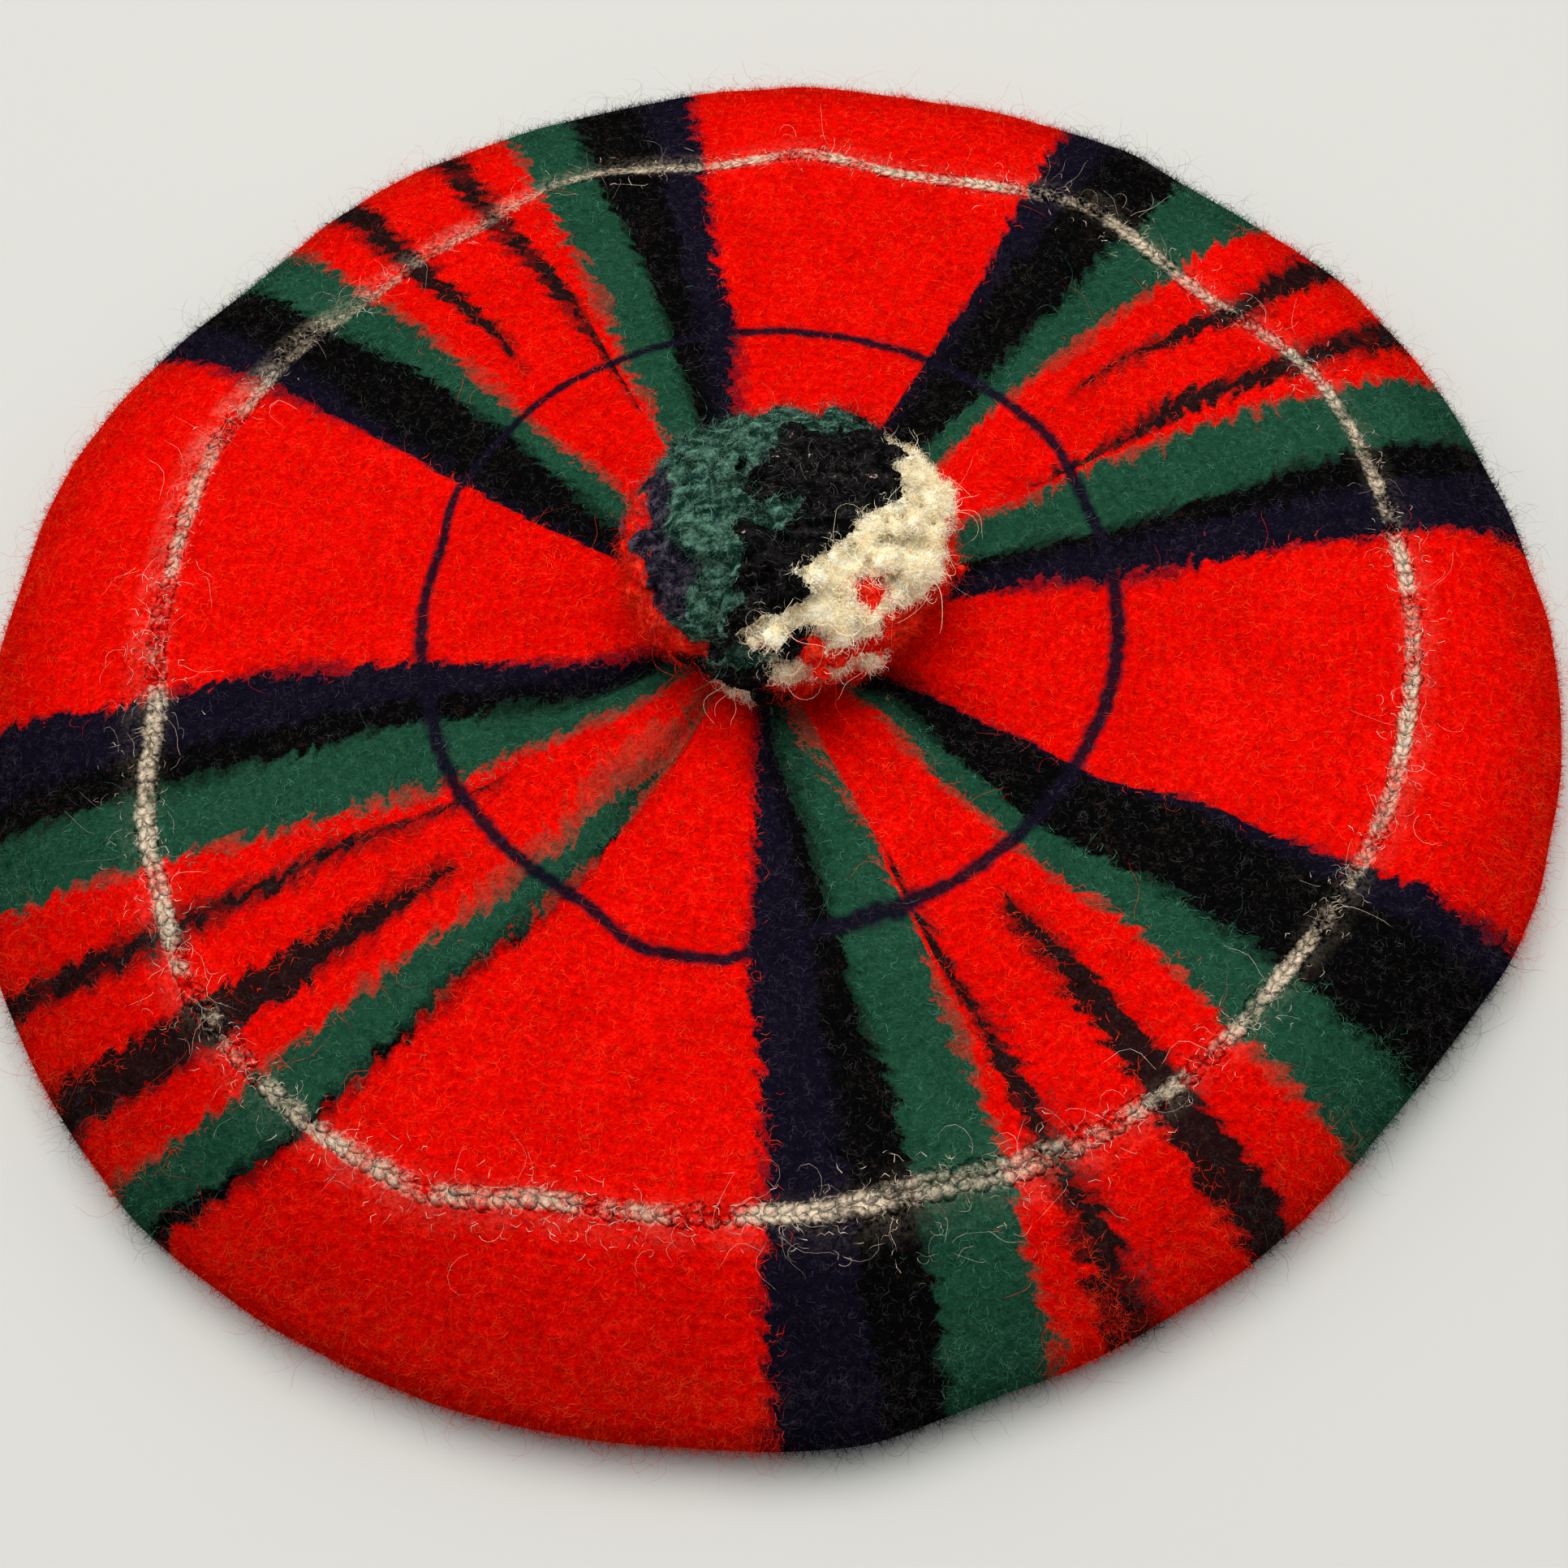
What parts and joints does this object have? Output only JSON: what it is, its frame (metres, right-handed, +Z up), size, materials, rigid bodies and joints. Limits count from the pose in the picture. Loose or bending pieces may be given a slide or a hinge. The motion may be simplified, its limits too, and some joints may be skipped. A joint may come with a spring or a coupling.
{
  "type": "tam o' shanter",
  "caption": "Milled wool tam with a round flat crown, soft rolled rim, radial tartan stripes, an inturned headband and a tufted pompom, lying flat.",
  "frame": {"origin": "on the floor that the hat lies on, at the middle of its outline seen from above", "axes": "+Z up out of the crown's top, +X to the right and +Y away from someone who faces the front"},
  "size_m": [0.27, 0.2728, 0.0523],
  "materials": {
    "milled_wool": "felted knitting with a raised nap, red with radial green, black and navy stripes and a white ring",
    "ribbed_wool": "plain ribbed knitting",
    "pompom_yarn": "felted cut yarn in black, green, navy, cream and red"
  },
  "bodies": {
    "root": {"crown": "milled_wool", "headband": "ribbed_wool", "pompom": "pompom_yarn"}
  },
  "joints": []
}
